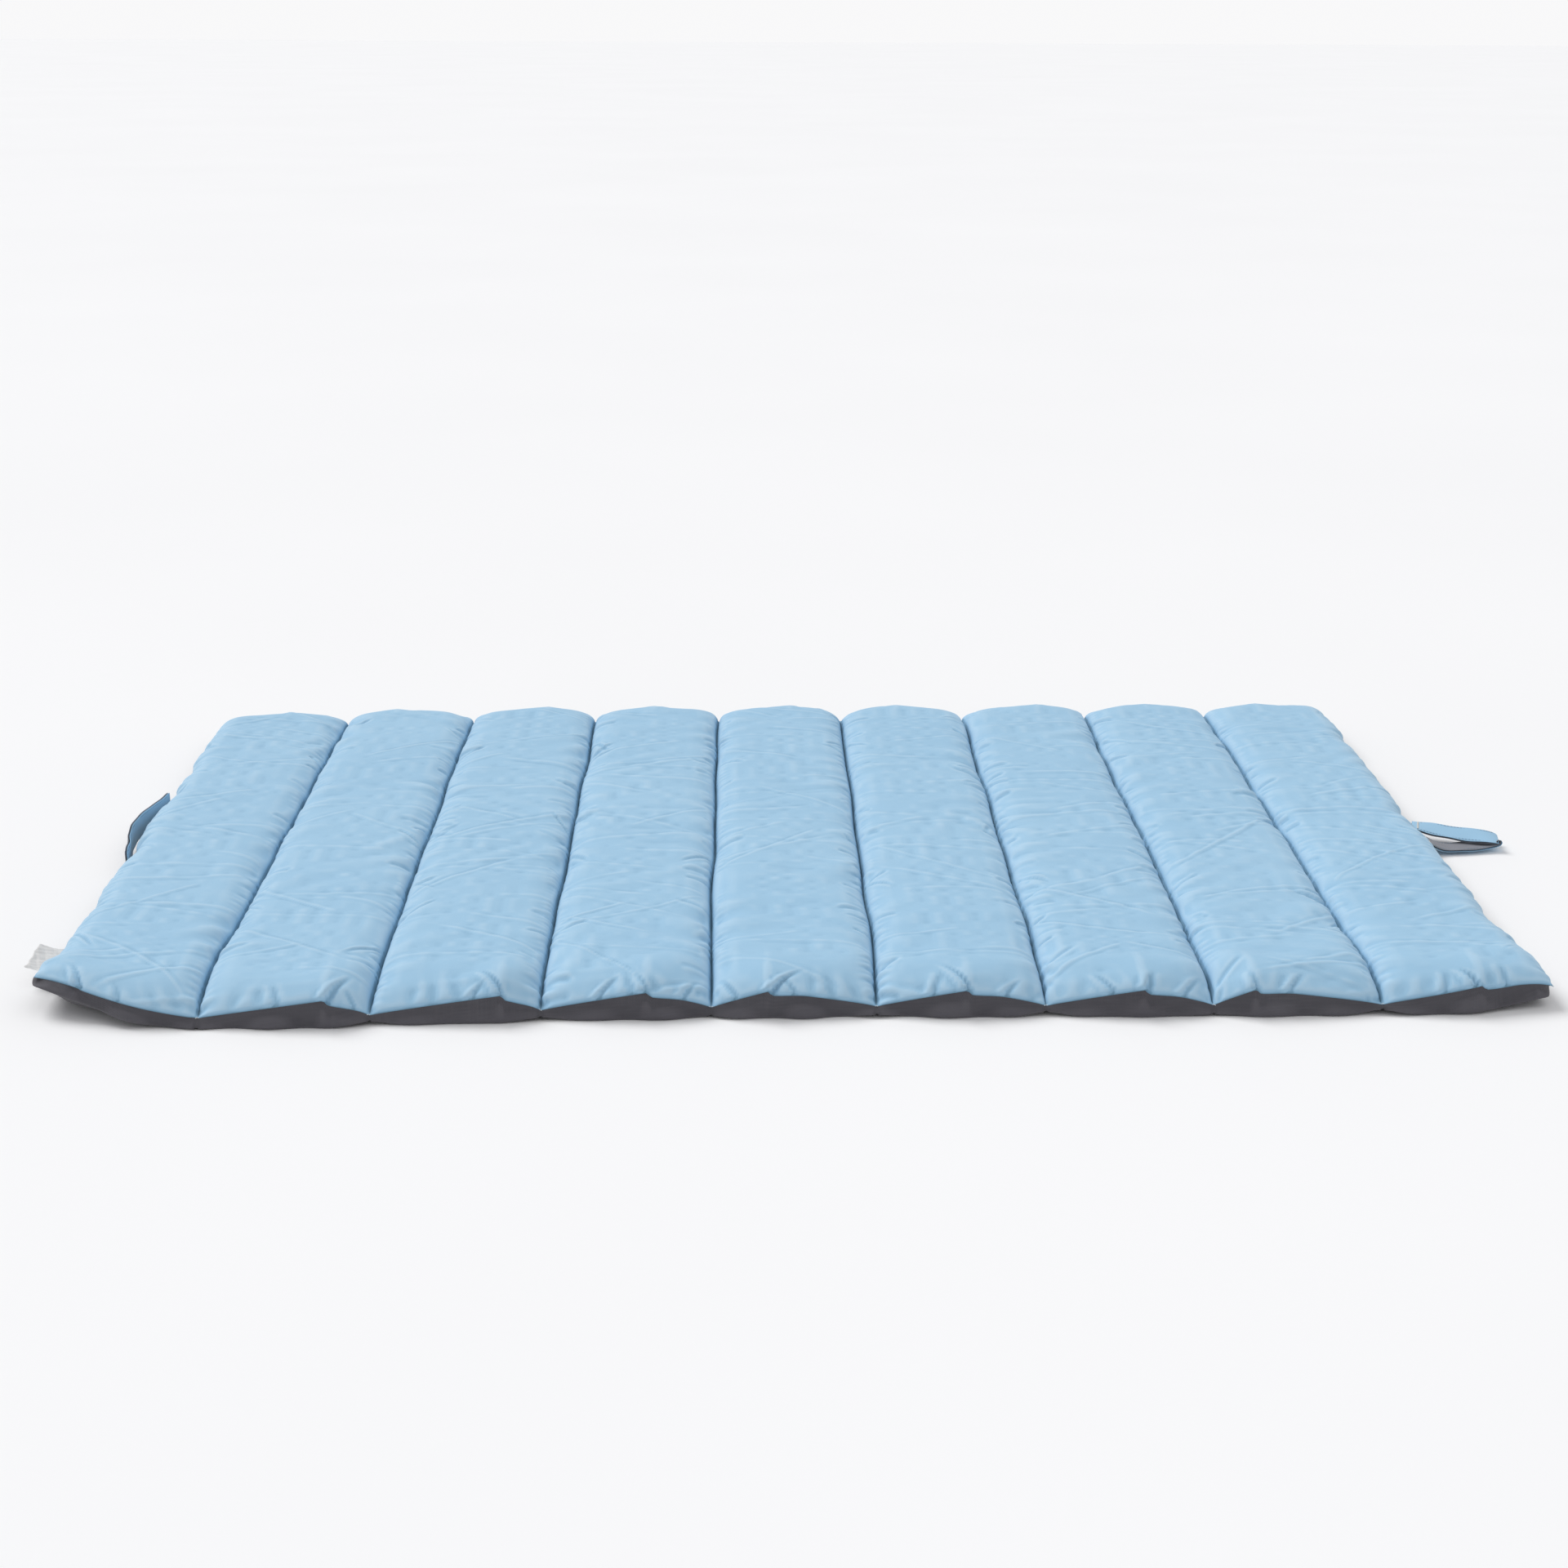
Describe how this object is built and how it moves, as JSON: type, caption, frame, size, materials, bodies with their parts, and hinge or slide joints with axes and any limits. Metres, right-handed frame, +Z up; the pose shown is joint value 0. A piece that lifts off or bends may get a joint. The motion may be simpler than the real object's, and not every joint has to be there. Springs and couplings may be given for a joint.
{
  "type": "padded roll-up mat",
  "caption": "Padded roll-up mat with blue top cloth over a grey underside, sewn into parallel channels, with side straps and a tag.",
  "frame": {"origin": "centre of the flat underside, at ground level", "axes": "+X across the channels towards the side with the hand loop, +Y along the channels towards the back edge, +Z up"},
  "size_m": [1.1939, 0.68, 0.0345],
  "materials": {
    "blue_cloth": "plain-woven polyester with a soft sheen",
    "grey_cloth": "matt coated polyester weave",
    "wadding": "loose polyester fibre",
    "seam_thread": "twisted polyester sewing thread",
    "light_thread": "twisted polyester sewing thread",
    "label_satin": "thin crinkled satin ribbon"
  },
  "bodies": {
    "segment_1": {"top_panel_1": "blue_cloth", "bottom_panel_1": "grey_cloth", "filling_1": "wadding"},
    "segment_2": {"top_panel_2": "blue_cloth", "bottom_panel_2": "grey_cloth", "filling_2": "wadding", "channel_stitch_1": "seam_thread"},
    "segment_3": {"top_panel_3": "blue_cloth", "bottom_panel_3": "grey_cloth", "filling_3": "wadding", "channel_stitch_2": "seam_thread"},
    "segment_4": {"top_panel_4": "blue_cloth", "bottom_panel_4": "grey_cloth", "filling_4": "wadding", "channel_stitch_3": "seam_thread"},
    "segment_5": {"top_panel_5": "blue_cloth", "bottom_panel_5": "grey_cloth", "filling_5": "wadding", "channel_stitch_4": "seam_thread"},
    "segment_6": {"top_panel_6": "blue_cloth", "bottom_panel_6": "grey_cloth", "filling_6": "wadding", "channel_stitch_5": "seam_thread"},
    "segment_7": {"top_panel_7": "blue_cloth", "bottom_panel_7": "grey_cloth", "filling_7": "wadding", "channel_stitch_6": "seam_thread"},
    "segment_8": {"top_panel_8": "blue_cloth", "bottom_panel_8": "grey_cloth", "filling_8": "wadding", "channel_stitch_7": "seam_thread"},
    "segment_9": {"top_panel_9": "blue_cloth", "bottom_panel_9": "grey_cloth", "filling_9": "wadding", "channel_stitch_8": "seam_thread"},
    "edge_strap": {"edge_strap_face": "blue_cloth", "edge_strap_backing": "grey_cloth", "edge_strap_tack_1": "light_thread", "edge_strap_tack_2": "light_thread"},
    "hand_loop": {"hand_loop_face": "blue_cloth", "hand_loop_backing": "grey_cloth", "hand_loop_tack_1": "light_thread", "hand_loop_tack_2": "light_thread"},
    "care_label": {"care_label": "label_satin"}
  },
  "joints": [
    {"name": "seam_8_fold", "type": "hinge", "parent": "segment_9", "child": "segment_8", "pos_m": [0.42778, 0, 0.013], "axis": [0, 1, 0], "range_deg": [0, 56]},
    {"name": "seam_7_fold", "type": "hinge", "parent": "segment_8", "child": "segment_7", "pos_m": [0.30556, 0, 0.013], "axis": [0, 1, 0], "range_deg": [0, 54]},
    {"name": "seam_6_fold", "type": "hinge", "parent": "segment_7", "child": "segment_6", "pos_m": [0.18333, 0, 0.013], "axis": [0, 1, 0], "range_deg": [0, 52.01]},
    {"name": "seam_5_fold", "type": "hinge", "parent": "segment_6", "child": "segment_5", "pos_m": [0.06111, 0, 0.013], "axis": [0, 1, 0], "range_deg": [0, 66.01]},
    {"name": "seam_4_fold", "type": "hinge", "parent": "segment_5", "child": "segment_4", "pos_m": [-0.06111, 0, 0.013], "axis": [0, 1, 0], "range_deg": [0, 64.01]},
    {"name": "seam_3_fold", "type": "hinge", "parent": "segment_4", "child": "segment_3", "pos_m": [-0.18333, 0, 0.013], "axis": [0, 1, 0], "range_deg": [0, 62.01]},
    {"name": "seam_2_fold", "type": "hinge", "parent": "segment_3", "child": "segment_2", "pos_m": [-0.30556, 0, 0.013], "axis": [0, 1, 0], "range_deg": [0, 92.01]},
    {"name": "seam_1_fold", "type": "hinge", "parent": "segment_2", "child": "segment_1", "pos_m": [-0.42778, 0, 0.013], "axis": [0, 1, 0], "range_deg": [0, 92.01]},
    {"name": "edge_strap_swing", "type": "hinge", "parent": "segment_1", "child": "edge_strap", "pos_m": [-0.552, 0.018, 0.0133], "axis": [0, 1, 0], "range_deg": [-30, 30]},
    {"name": "hand_loop_swing", "type": "hinge", "parent": "segment_9", "child": "hand_loop", "pos_m": [0.552, 0.0115, 0.0133], "axis": [0, 1, 0], "range_deg": [-100, 0]},
    {"name": "care_label_flap", "type": "hinge", "parent": "segment_1", "child": "care_label", "pos_m": [-0.552, -0.26, 0.0133], "axis": [0, 1, 0], "range_deg": [-45, 100]}
  ],
  "couplings": [
    {"joint": "seam_6_fold", "follows": "seam_7_fold", "ratio": 0.96296},
    {"joint": "seam_5_fold", "follows": "seam_7_fold", "ratio": 1.2222},
    {"joint": "seam_4_fold", "follows": "seam_7_fold", "ratio": 1.1852},
    {"joint": "seam_3_fold", "follows": "seam_7_fold", "ratio": 1.1481},
    {"joint": "seam_2_fold", "follows": "seam_7_fold", "ratio": 1.7037},
    {"joint": "seam_1_fold", "follows": "seam_7_fold", "ratio": 1.7037}
  ]
}
